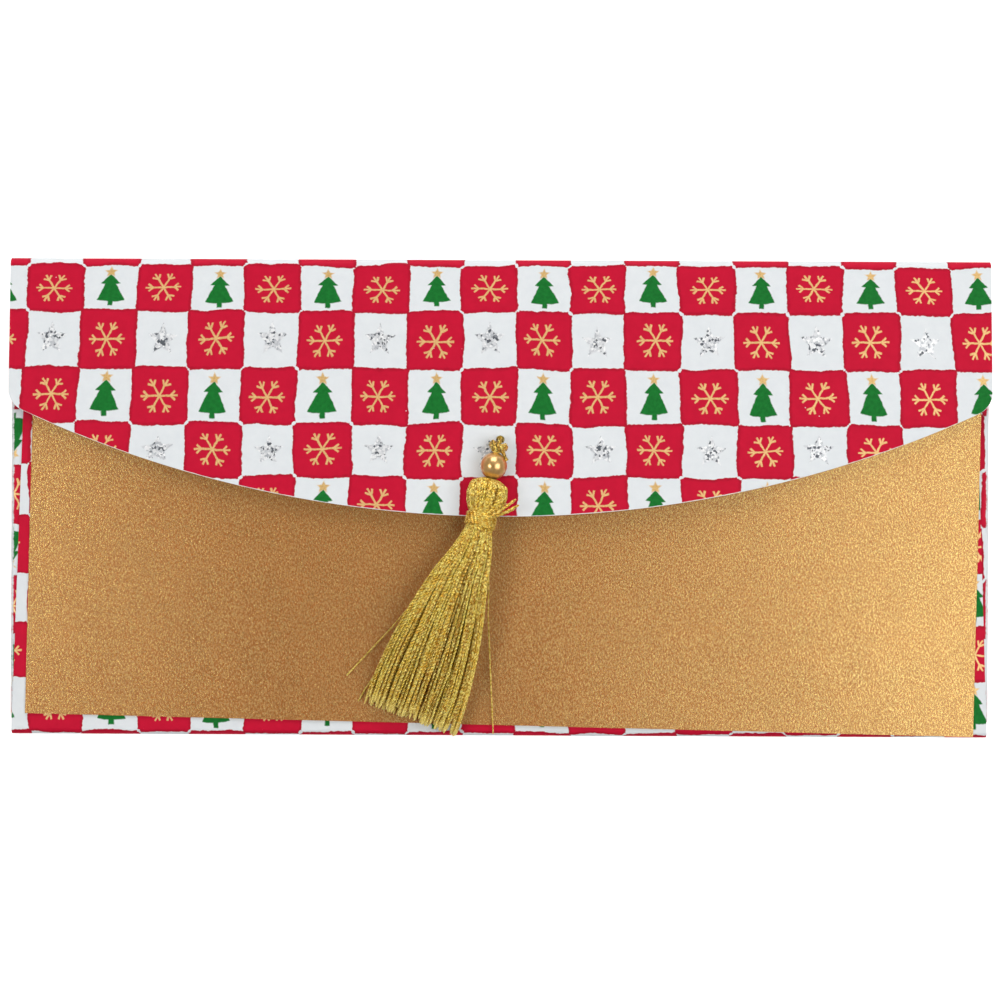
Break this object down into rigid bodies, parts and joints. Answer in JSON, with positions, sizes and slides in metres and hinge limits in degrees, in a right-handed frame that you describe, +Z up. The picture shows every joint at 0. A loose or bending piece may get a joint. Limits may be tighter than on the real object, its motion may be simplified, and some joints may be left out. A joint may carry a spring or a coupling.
{
  "type": "gift envelope",
  "caption": "Folded paper gift envelope with an open pocket, a hinged curved flap, a pasted gold front panel, and a bead and yarn tassel hanging from a cord through the flap.",
  "frame": {"origin": "middle of the envelope's back, on the surface that it lies on", "axes": "+X along the flap's fold to the right, +Y towards the flap's fold, +Z up from the back to the flap"},
  "size_m": [0.184, 0.0894, 0.0116],
  "materials": {
    "printed_paper": "matte, printed in red and white checks with small gold, green and silver figures",
    "gold_paper": "metallic, fine pebbled grain",
    "paste": "dry clear paste",
    "metallic_yarn": "glossy metallic yarn",
    "dark_gold_cord": "twisted metallic cord",
    "pearl_bead": "gold pearl coating"
  },
  "bodies": {
    "envelope": {"back_panel": "printed_paper", "bottom_fold": "printed_paper", "front_panel": "printed_paper", "left_side_fold": "printed_paper", "right_side_fold": "printed_paper", "left_glue_tab": "printed_paper", "right_glue_tab": "printed_paper", "left_tab_paste": "paste", "right_tab_paste": "paste", "gold_panel_paste": "paste", "gold_panel": "gold_paper", "flap_crease": "printed_paper"},
    "flap": {"flap": "printed_paper"},
    "hanger": {"hanging_cord": "dark_gold_cord", "back_knot": "dark_gold_cord"},
    "tassel": {"tassel_cord": "dark_gold_cord", "front_knot": "dark_gold_cord", "tassel_head": "metallic_yarn", "neck_wrap": "metallic_yarn", "tassel_skirt": "metallic_yarn"},
    "bead": {"bead": "pearl_bead"}
  },
  "joints": [
    {"name": "flap_fold", "type": "hinge", "parent": "envelope", "child": "flap", "pos_m": [0, 0.04335, 0.0014], "axis": [-1, 0, 0], "range_deg": [0, 176], "deforming": ["flap_crease"]},
    {"name": "tassel_swing", "type": "hinge", "parent": "flap", "child": "hanger", "pos_m": [0, 0.01104, 0.00715], "axis": [0, 0, 1], "range_deg": [-32, 58]},
    {"name": "tassel_lift", "type": "hinge", "parent": "hanger", "child": "tassel", "pos_m": [0, 0.01104, 0.00715], "axis": [-0.9744, 0.225, 0], "range_deg": [0, 165]},
    {"name": "bead_spin", "type": "hinge", "parent": "tassel", "child": "bead", "pos_m": [-0.00119, 0.00593, 0.00774], "axis": [-0.2246, -0.9679, 0.1124], "continuous": true}
  ]
}
